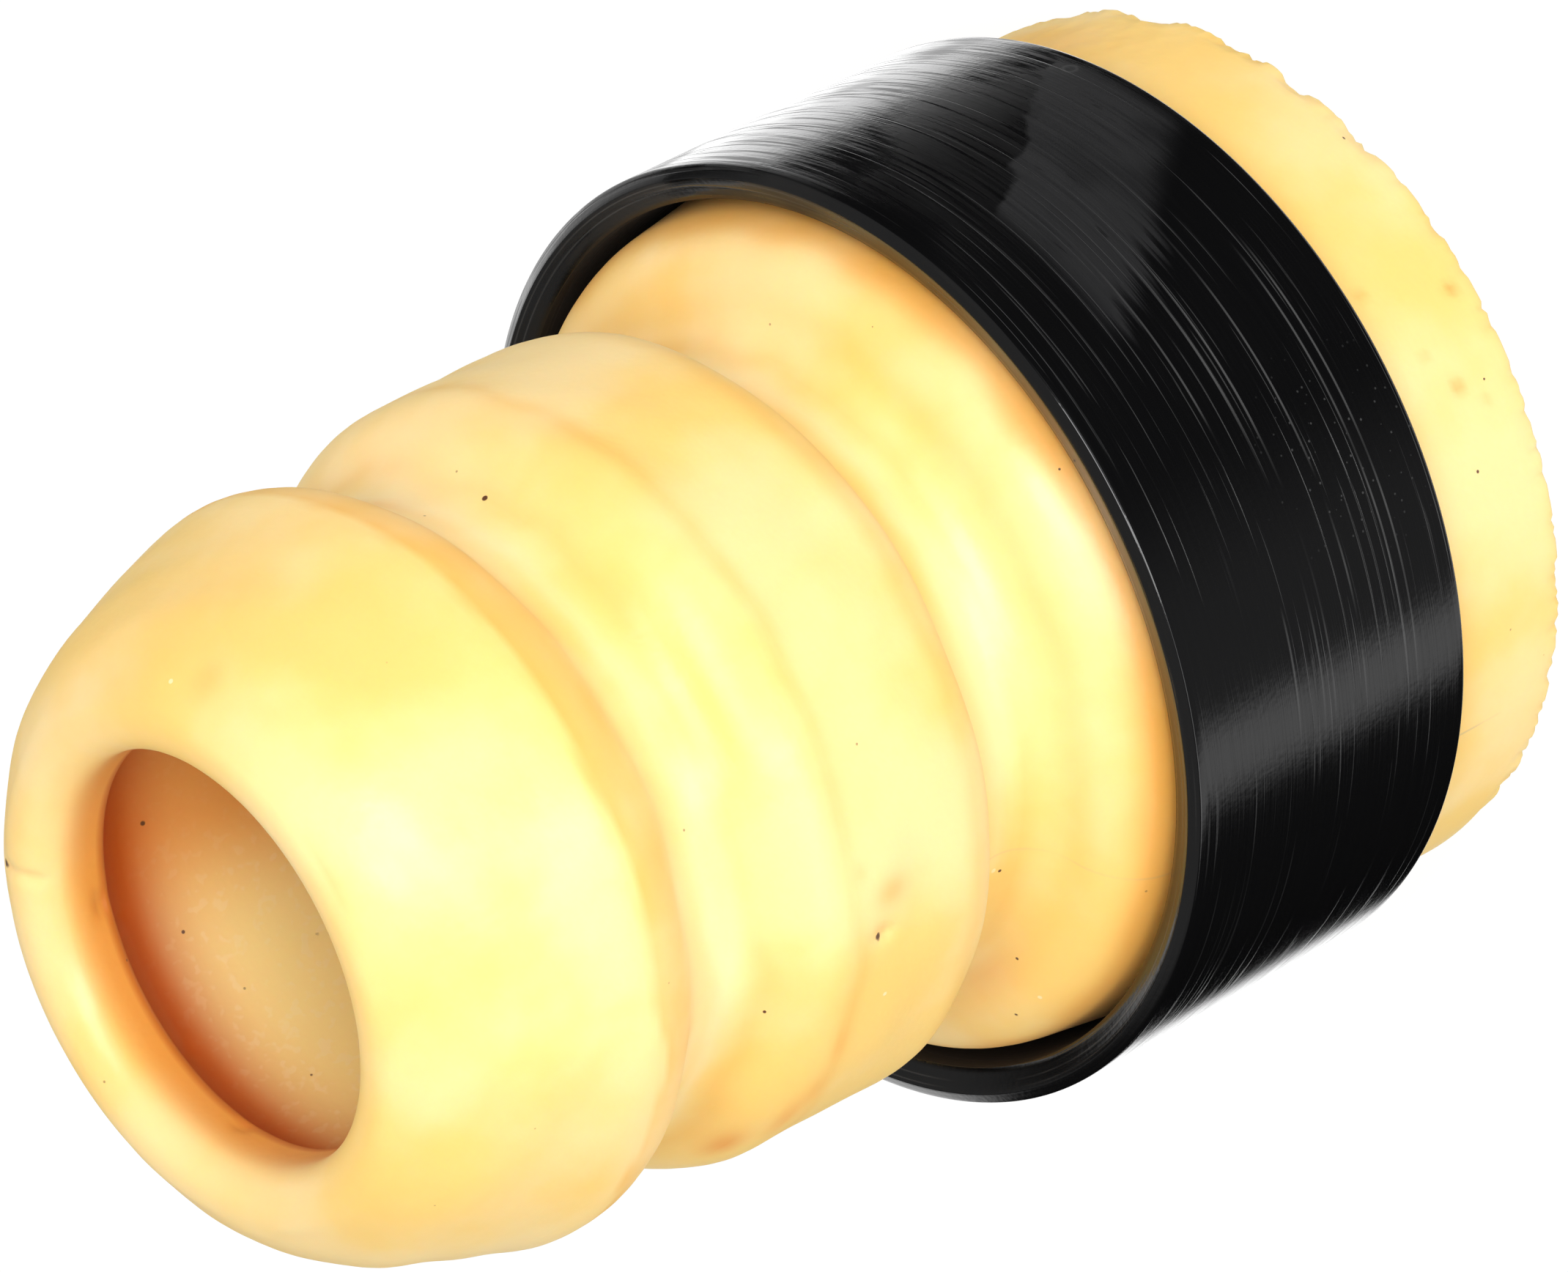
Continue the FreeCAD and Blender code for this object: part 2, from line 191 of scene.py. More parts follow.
# %% The chain of rounds
lobe_three = crest(lobe_three_radius, lobe_three_height, lobe_three_round)
lobe_two_rear = crest(lobe_two_radius + lobe_two_taper, lobe_two_rear_height, lobe_two_rear_round)
lobe_two_front = crest(lobe_two_radius, lobe_two_front_height, lobe_two_front_round)
lobe_one = crest(lobe_one_radius, lobe_one_height, lobe_one_round)
lip = crest(mouth_radius, front - lip_radius, lip_radius, BORE)
nose = (lip[0] - (nose_radius - lip_radius) * np.exp(1j * nose_turn), nose_radius)
land_end = lip[0].imag - mouth_land
lip_edge = crest(mouth_radius, land_end, lip_edge_radius, BORE)
chamber_one_across = chamber_one_radius - chamber_one_arc
chamber_reach = chamber_one_arc + lip_edge_radius
chamber_offset = mouth_radius + lip_edge_radius - chamber_one_across
chamber_one_height = land_end - math.sqrt(chamber_reach ** 2 - chamber_offset ** 2)
chamber_one = (complex(chamber_one_across, chamber_one_height), -chamber_one_arc)
ridge_height = (lobe_two_front_height + lobe_one_height) / 2 - 0.3
ridge = crest(ridge_radius, ridge_height, ridge_round, BORE)
bore_end = crest(bore_radius, bore_length, bore_end_round, BORE)

buffer_rounds = {
    "foot_edge": crest(foot_radius, 0.5, 0.5),
    "foot_shoulder": crest(foot_radius, foot_length - 0.1, 0.1),
    "seat_start": corner(seat_radius + 0.1, foot_length + 0.1, -0.1),
    "seat_end": crest(seat_radius, seat_end_height, 0.5),
    "lobe_three": lobe_three,
    "groove_two": hollow(lobe_three, lobe_two_rear, groove_two_radius),
    "lobe_two_rear": lobe_two_rear,
    "lobe_two_front": lobe_two_front,
    "groove_one": hollow(lobe_two_front, lobe_one, groove_one_radius),
    "lobe_one": lobe_one,
    "nose": nose,
    "lip": lip,
    "lip_edge": lip_edge,
    "chamber_one": chamber_one,
    "ridge": ridge,
    "chamber_two": hollow(ridge, bore_end, chamber_two_radius, BORE),
    "bore_end": bore_end,
    "bore_edge": crest(bore_radius, 0.8, 0.8, BORE),
}
print(len(buffer_rounds), "rounds; the grooves have radii",
      round(-buffer_rounds["groove_one"][1], 2), "and", round(-buffer_rounds["groove_two"][1], 2))

# %% [markdown]
# ## A walk along the chain
# The rounds say where the wall turns, and a mesh needs points on it. They could be spaced
# evenly, but a small edge would then be cut off and a long straight would waste them. So each
# round and the straight after it have a spacing of their own.


# %% A walk along the section
usual_spacing = (0.5, 0.5)
same_point = 1e-4


def walk(rounds, spacing):
    """Points and normals of a closed section, as complex numbers.

    The straight from one round to the next has the normal n for which n . (c2 - c1) equals
    r1 - r2, so n is the direction of c2 - c1 turned back by acos((r1 - r2) / |c2 - c1|). Each
    round is then swept from the normal of the straight before it to the one after it. The
    spacing is the distance between points on a round and on the straight after it.
    """
    names = list(rounds)
    centres = np.array([rounds[name][0] for name in names])
    radii = np.array([rounds[name][1] for name in names])
    ahead = np.roll(centres, -1) - centres
    swing = np.clip((radii - np.roll(radii, -1)) / np.abs(ahead), -1, 1)
    leaving = np.angle(ahead) - np.arccos(swing)
    points = []
    normals = []
    owners = []
    for k, name in enumerate(names):
        on_round, on_straight = spacing.get(name, usual_spacing)
        turn = (leaving[k] - leaving[k - 1] + np.pi) % (2 * np.pi) - np.pi
        steps = max(1, round(abs(radii[k] * turn) / on_round))
        angles = leaving[k] - turn * (1 - np.arange(steps + 1) / steps)
        swept = centres[k] + radii[k] * np.exp(1j * angles)
        after = (k + 1) % len(names)
        end = centres[after] + radii[after] * np.exp(1j * leaving[k])
        pieces = max(1, round(abs(end - swept[-1]) / on_straight))
        between = swept[-1] + (end - swept[-1]) * np.arange(1, pieces) / pieces
        points += [swept, between]
        normals += [np.exp(1j * angles), np.full(len(between), np.exp(1j * leaving[k]))]
        owners += [name] * (len(swept) + len(between))
    points = np.concatenate(points)
    apart = np.abs(points - np.roll(points, 1)) > same_point
    return points[apart], np.concatenate(normals)[apart], np.array(owners)[apart]


# Rows are closer together where the camera sees a curve, and far apart under the ring, deep in
# the bore and on the rear face, where nothing shows a corner.
buffer_spacing = {
    "foot_edge": (0.2, 0.5), "foot_shoulder": (0.1, 0.3), "seat_start": (0.1, 6.5),
    "seat_end": (0.2, 2.0), "groove_two": (0.55, 0.55), "lobe_one": (0.6, 0.7),
    "nose": (0.6, 0.5), "lip": (0.4, 0.4), "lip_edge": (0.15, 0.4), "chamber_one": (0.7, 1.2),
    "ridge": (1.6, 2.4), "chamber_two": (2.6, 2.6), "bore_end": (2.5, 9.0),
    "bore_edge": (0.3, 1.6),
}
section, section_normal, section_owner = walk(buffer_rounds, buffer_spacing)
print("section of", len(section), "points, from", round(section.imag.min(), 2), "to",
      round(section.imag.max(), 2), "mm high and", round(section.real.max(), 2), "mm in radius")

# %% [markdown]
# ## A turned surface on a grid
# Blender's Spin or Screw could turn the section, but every point has to be moved on its own
# later. So the surface is a grid: rows follow the section and columns go round the axis. It is
# closed both ways like a tyre, so it has no seam, no pole and no edge where light could leak in.


# %% From a grid to a mesh
def tyre(name, places):
    """A piece whose vertex (row, column) joins the next row and the next column all round."""
    rows, columns = places.shape[:2]
    index = np.arange(rows * columns).reshape(rows, columns)
    right = np.roll(index, -1, axis=1)
    corners = np.stack([index, right, np.roll(right, -1, axis=0), np.roll(index, -1, axis=0)])
    mesh = bpy.data.meshes.new(name)
    mesh.from_pydata((places * mm).reshape(-1, 3), [], corners.reshape(4, -1).T.tolist())
    mesh.shade_smooth()
    piece = bpy.data.objects.new(name, mesh)
    bpy.context.scene.collection.objects.link(piece)
    print(name, "has", 2 * rows * columns, "triangles")
    return piece


def around(radius, height, azimuth):
    """Places on a turned surface: (r cos a, r sin a, z) for every row and column."""
    radius, height, azimuth = np.broadcast_arrays(radius, height, azimuth)
    return np.stack([radius * np.cos(azimuth), radius * np.sin(azimuth), height], axis=-1)


# %% [markdown]
# ## What the mould and the knife left
# The section is perfect and the real part isn't. Its skin waves a little, which breaks up the
# gloss, and its rear end was trimmed by hand, so the rim is chewed and one side of the foot is
# coarse. A noise texture could do all this, but a bump map leaves the outline smooth, and the
# bites cut the outline. So the points themselves move. The waves are a sum of cosines with
# whole numbers of turns round the axis, so that they close on themselves. The bites come from
# a short list of the large ones and from cosines too short to follow.

# %% Waves
column_count = 448
azimuth = np.linspace(-np.pi, np.pi, column_count, endpoint=False)
along = np.cumsum(np.abs(section - np.roll(section, 1)))


def ripple(seed, count, turns, stretch):
    """A sum of cosines of k a + m s + p: a is the azimuth and s the way along the section.

    The whole numbers k are drawn up to the given turns and m is drawn round the stretch.
    """
    chance = np.random.default_rng(seed)
    total = np.zeros((len(along), column_count))
    for _ in range(count):
        k = chance.integers(0, turns)
        m = chance.normal(0, stretch)
        p = chance.uniform(0, 6.28)
        total += np.cos(k * azimuth + m * along[:, None] + p)
    return total / math.sqrt(count / 2)


def bump(where, centre, width):
    """A bell of height 1: exp(-((where - centre) / width)^2)."""
    return np.exp(-((where - centre) / width) ** 2)


def fade(value, low, high):
    """0 below low and 1 above high, with a smooth step between."""
    part = np.clip((value - low) / (high - low), 0, 1)
    return part * part * (3 - 2 * part)


outside = np.cumsum(section_owner == "lip") == 0
height = section.imag
reach = section.real
wave_depth = 0.05
free_skin = np.where(outside, fade(height, ring_front - 3, ring_front + 4), 0)
shift = wave_depth * free_skin[:, None] * ripple(3, 30, 14, 0.55)
print("waves up to", round(float(shift.max()), 2), "mm")

# %% Bites and coarse grain
tooth_depth = 0.16
coarse_depth = 0.05
coarse_side = math.radians(-14)
degrees_round = np.degrees(azimuth)
# Each large bite: azimuth in degrees, half its length in degrees and depth in millimetres.
rim_bites = ((-64, 3.5, 0.42), (-52.5, 2.6, 0.6), (-45, 2, 0.3), (-41, 1.6, 0.4), (-27, 3, 0.6),
             (-31, 1.4, 0.25), (-10, 4, 0.7), (-170, 5, 0.75), (-160, 1.8, 0.3), (14, 4, 0.5),
             (40, 3, 0.4), (71, 5, 0.6), (98, 2.5, 0.5), (133, 4, 0.4), (163, 3, 0.6))
rim_depth = sum(depth * bump(degrees_round, centre, half) for centre, half, depth in rim_bites)
teeth = ripple(11, 60, 220, 1.4) * 0.75 + ripple(12, 30, 60, 0.3) * 0.35
chewed = np.where(outside, 1 - fade(height, 0.35, 1.5), 0)[:, None]
shift = shift - chewed * (rim_depth + tooth_depth * np.clip(teeth + 0.5, 0, 2))
# The foot has a patch of coarse grain on the side that lies at the top of the photograph.
coarse = fade(np.cos(azimuth - coarse_side), 0.86, 0.97)
coarse = coarse * (outside * (1 - fade(height, 7.5, 9)) * fade(height, 0.2, 0.6))[:, None]
shift = shift - coarse_depth * coarse * np.clip(ripple(31, 60, 150, 3.0) + 0.6, 0, 2)
print("deepest bite", round(float(-shift.min()), 2), "mm")

# %% [markdown]
# ## Nicks
# Handling has chipped the lip and the skin in a few places, and the camera sees each one. They
# could be cut with Booleans, but the real ones are shallow and have soft edges. So each is a
# bell of the distance from a place on the surface, pressed in along the normal.


# %% Nicks
def row_at(level, on_outside):
    """The row of the section nearest to a height, on the outside or in the bore."""
    other_side = 99.0 * (outside != on_outside)
    return np.argmin(np.abs(height - level) + other_side)


def angle_from(turn):
    """The angle from an azimuth in degrees to each column: that of exp(i (a - turn))."""
    return np.angle(np.exp(1j * (azimuth - math.radians(turn))))


# Each nick: azimuth in degrees, height, half width across and up in millimetres, depth, and
# whether it is on the outside.
nicks = ((63, 80.1, 0.9, 0.5, 0.35, False), (72.5, 77.7, 0.6, 0.7, 0.3, False),
         (136, 80.1, 0.7, 0.4, 0.3, False), (105, 77.6, 0.8, 0.5, 0.35, False),
         (50.7, 84.1, 0.5, 0.5, 0.3, False), (-132, 52.9, 0.5, 0.6, 0.35, True),
         (96, 66.6, 0.35, 0.35, 0.2, False))
for turn, level, across, up, depth, on_outside in nicks:
    arc = reach[row_at(level, on_outside)] * angle_from(turn)
    same_side = (outside == on_outside)[:, None]
    shift = shift - depth * same_side * bump(arc, 0, across) * bump(height, level, up)[:, None]
print(len(nicks), "nicks, the deepest", max(nick[4] for nick in nicks), "mm")

# %% [markdown]
# ## The buffer
# The foam is one moulding, so it is one mesh. The shift goes along the normal, except at the
# rim, where it goes straight in, so the rear face stays flat and the part still stands on it.

# %% The buffer's surface
rim_height = 2.0
floor_height = 0.05
lean = np.where((height < rim_height)[:, None], 1.0 + 0j, section_normal[:, None])
flat_part = (height < floor_height) & (reach < foot_radius - 2)
lean = np.where(flat_part[:, None], 0, lean)
shifted = section[:, None] + shift * lean
buffer_piece = tyre("moulded_buffer", around(shifted.real, np.maximum(shifted.imag, 0), azimuth))
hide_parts("buffer")
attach(buffer_piece, "root")

# %% [markdown]
# ## Where the foam changes colour
# In the grooves, on the first lobe's rear flank and beside the ring, amber is painted shade, and
# on the foot the same colour grows towards the ring above it and at the bottom rim. There are a
# few stains, painted shade by the ring's edge, two pale bands of painted highlight in the
# grooves, painted shade in the bore, a painted shadow of the lip in the undercut, and painted
# light on the deep wall of the bore that faces the mouth.
# Colours could be painted on by hand, but these follow the section. So they are worked out on
# the same grid as the shape and kept as attributes of the vertices, which the material reads.
# One wave in the height keeps the edges of the bands from running dead straight.


# %% Bands of painted shade
def keep(piece, name, values):
    """One number for each vertex, under a name that a material can read."""
    attribute = piece.data.attributes.new(name, "FLOAT", "POINT")
    rows = len(piece.data.vertices) // column_count
    attribute.data.foreach_set("value", np.broadcast_to(values, (rows, column_count)).ravel())


uneven_depth = 0.22
uneven = height[:, None] + uneven_depth * ripple(21, 16, 26, 0.05)
flank = fade(uneven, lobe_one_height - 5.0, lobe_one_height - 2.2)
flank = flank * (1 - fade(uneven, lobe_one_height - 0.3, lobe_one_height + 0.5))
# Each band of painted shade: height, half width and strength.
shade_bands = ((lobe_one_height, 0.35, 0.30), (60.4, 0.7, 0.40), (55.0, 0.7, 0.45),
               (45.2, 0.9, 0.40), (37.4, 0.6, 0.30))
painted_shade = 0.75 * flank + 0.9 * (1 - fade(uneven, ring_front - 0.6, ring_front + 2.2))
painted_shade = painted_shade + sum(strength * bump(uneven, middle, half) for middle, half, strength in shade_bands)
# On the foot the painted shade grows towards the ring above it and at the bottom rim.
foot_shade = 0.25 * fade(height, 5.5, foot_length) + 0.2 * (1 - fade(height, 0.2, 1.2))
on_foot = height < foot_length + 0.5
painted_shade = np.where(on_foot[:, None], foot_shade[:, None], painted_shade)
keep(buffer_piece, "painted_shade", painted_shade * outside[:, None])
print(len(shade_bands), "bands, amber up to", round(float(painted_shade.max()), 2))

# %% Stains, painted shade by the ring, and pale bands of painted highlight
# Each stain: azimuth in degrees, height, half width across and up in millimetres, strength.
stains = ((-175, 58.4, 2.2, 0.7, 1.0), (-165, 56.6, 2.4, 0.7, 0.7), (-158, 55.8, 1.6, 0.6, 0.45),
          (-149, 55.3, 1.4, 0.5, 0.35), (-125.8, 52.2, 1.0, 1.3, 0.55), (-131, 53.2, 0.6, 0.6, 0.4),
          (-120.8, 54.4, 0.6, 0.5, 0.25), (-40, 82.2, 1.0, 0.9, 0.35), (-30, 66.4, 5.0, 0.7, 0.5),
          (-22, 63.5, 4.0, 1.0, 0.4), (-174, 36.0, 3.0, 0.4, 0.35), (-20, 6.2, 6.0, 3.0, 0.4),
          (-97, 4.7, 0.5, 0.5, 0.8), (-86.2, 1.9, 0.45, 0.45, 0.9), (-81.9, 8.1, 0.4, 0.4, 0.6),
          (-92, 6.1, 0.35, 0.35, 0.4), (-85, 84.3, 2.4, 0.5, 0.4), (-100, 3.0, 0.4, 0.4, 0.3))
stains_and_shade = 0.0
for turn, middle, across, up, strength in stains:
    arc = angle_from(turn) * reach[:, None]
    stains_and_shade = stains_and_shade + strength * bump(arc, 0, across) * bump(height, middle, up)[:, None]
# Painted shade on the foam just in front of the ring's edge, laid in with the stains.
ring_edge_shade = 1 - fade(uneven, ring_front - 0.2, ring_front + 1.2)
ring_edge_shade = ring_edge_shade * (height > foot_length + 1)[:, None]
keep(buffer_piece, "stains_and_shade", (stains_and_shade + 0.45 * ring_edge_shade) * outside[:, None])
# The two pale bands are painted highlights in the grooves, and the rear one is only on the side
# that lies at the front.
highlight_side = fade(np.cos(azimuth - math.radians(-70)), 0.22, 0.30)
pale = 0.4 * bump(uneven, 62.6, 0.8) + 0.45 * bump(uneven, 39.1, 0.8) * highlight_side
keep(buffer_piece, "pale", pale * outside[:, None])
print(len(stains), "stains")

# %% Painted shade and light in the bore, and the foot
# Painted shade: the bore darkens inward, and the lip darkens towards its inner edge.
bore_shade = np.where(outside, 0, fade(-height, 1.4 - front, 4.5 - front))
on_lip = fade(-height, 1.0 - front, 3.8 - front) * (reach < lip[0].real)
bore_shade = np.where(section_owner == "lip", on_lip, bore_shade)
rear_face = (height < floor_height) & (reach > bore_radius + 0.4)
bore_shade = np.where(rear_face, 0, bore_shade)
keep(buffer_piece, "bore", bore_shade[:, None])
# Deep down, the wall that faces the mouth's light is painted lighter, as painted light, and the
# wall opposite is not.
deep_bore_light = np.where(outside | rear_face, 0, 1 - fade(height, land_end - 5.5, land_end - 0.6))
facing_out = fade(np.cos(azimuth - math.radians(115)), 0.5, 0.95)
keep(buffer_piece, "deep_bore_light", deep_bore_light[:, None] * (0.15 + 0.85 * facing_out))
# Painted shadow: the lip's shadow on the undercut behind it, in deep brown.
undercut_shadow = np.where(outside, 0, bump(height, chamber_one_height + 1.2, 3.6))
undercut_shadow = np.where(height > land_end, 0, undercut_shadow)
keep(buffer_piece, "undercut_shadow", undercut_shadow[:, None])
foot_only = height < foot_length + 0.3
keep(buffer_piece, "foot", (outside * foot_only)[:, None])
seam = np.where(foot_only, 1.0, 0.35 * (1 - fade(height, 39, 43)))
keep(buffer_piece, "seam", (outside * seam)[:, None])
print("attributes:", ", ".join(sorted(a.name for a in buffer_piece.data.attributes
                                      if a.data_type == "FLOAT")))

# %% [markdown]
# ## The ring
# The ring is a sleeve that the foot's seat grips. Its front end slopes in from a low crest. A
# tube with a Bevel modifier would be quicker, but its front isn't square. So it is walked
# along a chain of rounds too, with small ones at its edges, because a sharp edge catches no
# light.

# %% The ring
ring_mouth = (ring_bore_radius, ring_front - 0.26)
ring_crest = (ring_outer_radius - 0.73, ring_front + ring_crest_rise)
inner_wall = 0.03
ring_rounds = {
    "rear_edge": crest(ring_outer_radius, ring_rear + 0.3, 0.3),
    "front_edge": corner(ring_outer_radius - 0.15, ring_front - 0.15, 0.15),
    "crest": corner(ring_crest[0], ring_crest[1] - 0.12, 0.12),
    "mouth": corner(ring_mouth[0] + 0.06, ring_mouth[1] - 0.06, 0.06),
    "rear_bore": corner(ring_bore_radius + 0.06, ring_rear + 0.06, 0.06),
}
ring_spacing = {
    "rear_edge": (0.08, 0.5), "front_edge": (0.08, 0.2), "crest": (0.06, 0.4),
    "mouth": (0.05, 2.0), "rear_bore": (0.05, 0.5),
}
ring_section = walk(ring_rounds, ring_spacing)[0][:, None]
ring_piece = tyre("plastic_ring", around(ring_section.real, ring_section.imag, azimuth))
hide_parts("support_ring")
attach(ring_piece, "root")
keep(ring_piece, "inside", ring_section.real < ring_bore_radius + inner_wall)


# %% [markdown]
# ## Helpers for materials
# A material is a list of nodes, and writing one out by hand hides what it does. put() makes a
# node and joins its inputs in one line, and calc() and tint() do so for sums and colours.


# %% Node helpers
def put(tree, kind, inputs=(), **settings):
    """A node whose inputs are numbers, colours or the outputs of other nodes."""
    node = tree.nodes.new("ShaderNode" + kind)
    for name, value in settings.items():
        setattr(node, name, value)
    for name, value in dict(inputs).items():
        if isinstance(value, bpy.types.NodeSocket):
            tree.links.new(value, node.inputs[name])
        else:
            node.inputs[name].default_value = value
    return node


def calc(tree, operation, *values):
    """The result of one sum on numbers or sockets."""
    return put(tree, "Math", enumerate(values), operation=operation).outputs[0]


def tint(tree, amount, first, second):
    """The first colour with so much of the second."""
    return put(tree, "Mix", {0: amount, 6: first, 7: second}, data_type="RGBA").outputs[2]


def ramp(tree, value, low, high):
    """0 where the value is low, 1 where it is high and a smooth step between."""
    return put(tree, "MapRange", {"Value": value, "From Min": low, "From Max": high},
               interpolation_type="SMOOTHSTEP").outputs[0]


def read(tree, name):
    """An attribute that a piece's vertices carry."""
    return put(tree, "Attribute", attribute_name=name).outputs["Fac"]


def in_millimetres(tree):
    """Object coordinates in millimetres."""
    place = put(tree, "TexCoord").outputs["Object"]
    return put(tree, "VectorMath", {0: place, "Scale": 1 / mm}, operation="SCALE").outputs[0]


def noise(tree, place, size, detail=2.0):
    """Cloudy noise whose blobs are about that many millimetres wide."""
    cloudy = put(tree, "TexNoise", {"Vector": place, "Scale": 0.5 / size, "Detail": detail})
    return cloudy.outputs["Fac"]


def sector(tree, value, centre, half, soft):
    """1 where a value is that near to the centre, with a soft edge."""
    off = calc(tree, "ABSOLUTE", calc(tree, "SUBTRACT", value, centre))
    return ramp(tree, off, half + soft, half - soft)


def add_material(name):
    """A new material, its nodes and the shader that it starts with."""
    material = bpy.data.materials.new(name)
    material.use_nodes = True
    return material, material.node_tree, material.node_tree.nodes["Principled BSDF"]


# %% [markdown]
# ## Two effects that both finishes share
# A speck is a small blot at a place on the skin, and both pieces have some. Fine grain is the
# roughness that a mould leaves on foam and plastic alike. They could be written out in each
# material, but then a change has to be made twice. So each is a group with its own inputs.

# %% Groups
def start_group(name, inputs, outputs):
    """An empty group with named sockets, its tree and the nodes at its two ends."""
    tree = bpy.data.node_groups.new(name, "ShaderNodeTree")
    for way, sockets in (("INPUT", inputs), ("OUTPUT", outputs)):
        for socket_name, kind in sockets.items():
            tree.interface.new_socket(socket_name, in_out=way, socket_type="NodeSocket" + kind)
    start = tree.nodes.new("NodeGroupInput")
    end = tree.nodes.new("NodeGroupOutput")
    return tree, start.outputs, end.inputs


speck, speck_in, speck_out = start_group(
    "speck", {"Place": "Vector", "Centre": "Vector", "Radius": "Float", "Ragged": "Float"},
    {"Mask": "Float"})
apart = put(speck, "VectorMath", {0: speck_in["Place"], 1: speck_in["Centre"]},
            operation="DISTANCE").outputs["Value"]
apart = calc(speck, "MULTIPLY_ADD", apart, calc(speck, "DIVIDE", 1.0, speck_in["Radius"]),
             speck_in["Ragged"])
speck.links.new(ramp(speck, apart, 1.7, 1.3), speck_out["Mask"])

grain, grain_in, grain_out = start_group(
    "grain", {"Place": "Vector", "Size": "Float", "Depth": "Float"}, {"Height": "Float"})
scale = calc(grain, "DIVIDE", 0.5, grain_in["Size"])
fine = put(grain, "TexNoise", {"Vector": grain_in["Place"], "Scale": scale, "Detail": 1.0})
grain.links.new(calc(grain, "MULTIPLY", fine.outputs["Fac"], grain_in["Depth"]),
                grain_out["Height"])
print("groups", speck.name, "and", grain.name)


# %% Placing a group
def use(tree, group, **inputs):
    """A group with its own values, and its first output."""
    node = tree.nodes.new("ShaderNodeGroup")
    node.node_tree = group
    for name, value in inputs.items():
        if isinstance(value, bpy.types.NodeSocket):
            tree.links.new(value, node.inputs[name])
        else:
            node.inputs[name].default_value = value
    return node.outputs[0]


def spot(far, turn, level):
    """The place (r cos a, r sin a, z) for an azimuth a in degrees."""
    turn = math.radians(turn)
    return (far * math.cos(turn), far * math.sin(turn), level)


def specks(tree, place, ragged, marks):
    """The strongest of the masks of a list of marks: azimuth, height, radius, outside or not."""
    total = 0.0
    for turn, level, size, on_outside in marks:
        centre = spot(reach[row_at(level, on_outside)], turn, level)
        mask = use(tree, speck, Place=place, Centre=centre, Radius=size, Ragged=ragged)
        total = calc(tree, "MAXIMUM", mask, total)
    return total


# %% [markdown]
# ## The foam
# Cast foam is cream where it is new, and it turns yellow and amber with age, in patches with
# soft edges. Light goes into it, so shadows are warm. Its skin is waxy on the free lobes and
# dry on the foot. One plain colour with subsurface light looks like candle wax, so two noises
# of different size mix cream and yellow. Honey is laid over them as painted shade in the
# creases and beside the ring, and the attributes then lay their own colours, stains and painted
# shade, light and highlight among them, each where the one before may still show through.

# %% Colours of the foam
cream = (0.97, 0.70, 0.31, 1)
yellow = (0.94, 0.61, 0.17, 1)
# honey is painted shade in the creases and beside the ring.
honey = (0.87, 0.45, 0.085, 1)
# tan is the stains, and the painted shade in the bore and by the ring's edge.
tan = (0.80, 0.31, 0.045, 1)
# This deep brown is the painted shadow of the lip in the undercut.
shadow_brown = (0.50, 0.075, 0.001, 1)
dirt = (0.12, 0.05, 0.02, 1)
grey = (0.45, 0.36, 0.24, 1)
# chalk is pale flecks and crumbs, and the painted highlight of the pale bands.
chalk = (0.98, 0.86, 0.56, 1)
# straw is painted light on the deep wall of the bore.
straw = (0.99, 0.81, 0.31, 1)
foam, tree, shader = add_material("yellow_foam")
place = in_millimetres(tree)
patches = noise(tree, place, 7.0, 1.0)
clouds = noise(tree, place, 2.6, 2.0)
patchy = calc(tree, "MULTIPLY_ADD", patches, 0.9, calc(tree, "MULTIPLY", clouds, 0.35))
colour = tint(tree, ramp(tree, patchy, 0.45, 0.80), cream, yellow)
# Painted shade: honey laid in the creases and beside the ring, broken up by the patches.
painted_shade_mask = calc(tree, "MULTIPLY", read(tree, "painted_shade"), ramp(tree, patchy, 0.2, 0.75))
colour = tint(tree, calc(tree, "MULTIPLY", painted_shade_mask, 0.9), colour, honey)
# Each layer: attribute, strength and colour, from the lowest to the one on top. The stains
# layer carries painted shade by the ring's edge, the bore layer is painted shade, the pale layer
# a painted highlight, the deep layer painted light and the undercut layer a painted shadow.
layers = (("stains_and_shade", 0.8, tan), ("bore", 0.85, tan), ("pale", 0.6, chalk), ("deep_bore_light", 0.9, straw),
          ("undercut_shadow", 0.95, shadow_brown))
masks = {}
for name, strength, shade in layers:
    masks[name] = calc(tree, "MULTIPLY", read(tree, name), strength)
    colour = tint(tree, masks[name], colour, shade)
print("foam colours:", len(layers), "layers over cream, yellow and honey")

# %% [markdown]
# ## Specks, crumbs and the parting line
# The skin carries dark specks and pale flecks. Some are so plain in the photograph that they
# are placed one by one, and a thin scatter of pepper stands for the rest. The two halves of
# the mould met in a plane through the axis and left a broken grey line where it cuts the skin.

# %% Marks on the foam
# Each mark: azimuth in degrees, height, radius, and whether it is on the outside.
brown_marks = ((-39.0, 60.5, 0.19, True), (50.7, 84.2, 0.35, True), (-132, 53.2, 0.3, True),
               (-141, 43.5, 0.12, True), (55, 74.3, 0.2, False), (96, 66.6, 0.18, False),
               (105.3, 77.4, 0.25, False), (72.7, 77.6, 0.2, False), (125, 72.2, 0.12, False),
               (81.7, 73.7, 0.1, False), (-141.3, 59.7, 0.11, True), (-145.9, 38.35, 0.13, True),
               (-166.5, 35.8, 0.10, True), (-176.6, 34.9, 0.13, True), (-35.1, 36.4, 0.11, True),
               (-52, 34.8, 0.09, True), (-83.7, 32.8, 0.10, True), (-107.5, 5.4, 0.11, True),
               (-63, 1.3, 0.12, True), (-97.7, 2.6, 0.08, True))
pale_marks = ((-142.8, 52.35, 0.16, True), (-29.1, 84.34, 0.16, True), (-32.9, 82.9, 0.14, True),
              (-145.2, 38.9, 0.15, True), (-170, 34.9, 0.14, True))
ragged = noise(tree, place, 0.35, 1.0)
dots = specks(tree, place, ragged, brown_marks)
pepper = put(tree, "TexVoronoi", {"Vector": place, "Scale": 0.24, "Randomness": 1.0})
pepper_mask = ramp(tree, pepper.outputs["Distance"], 0.026, 0.012)
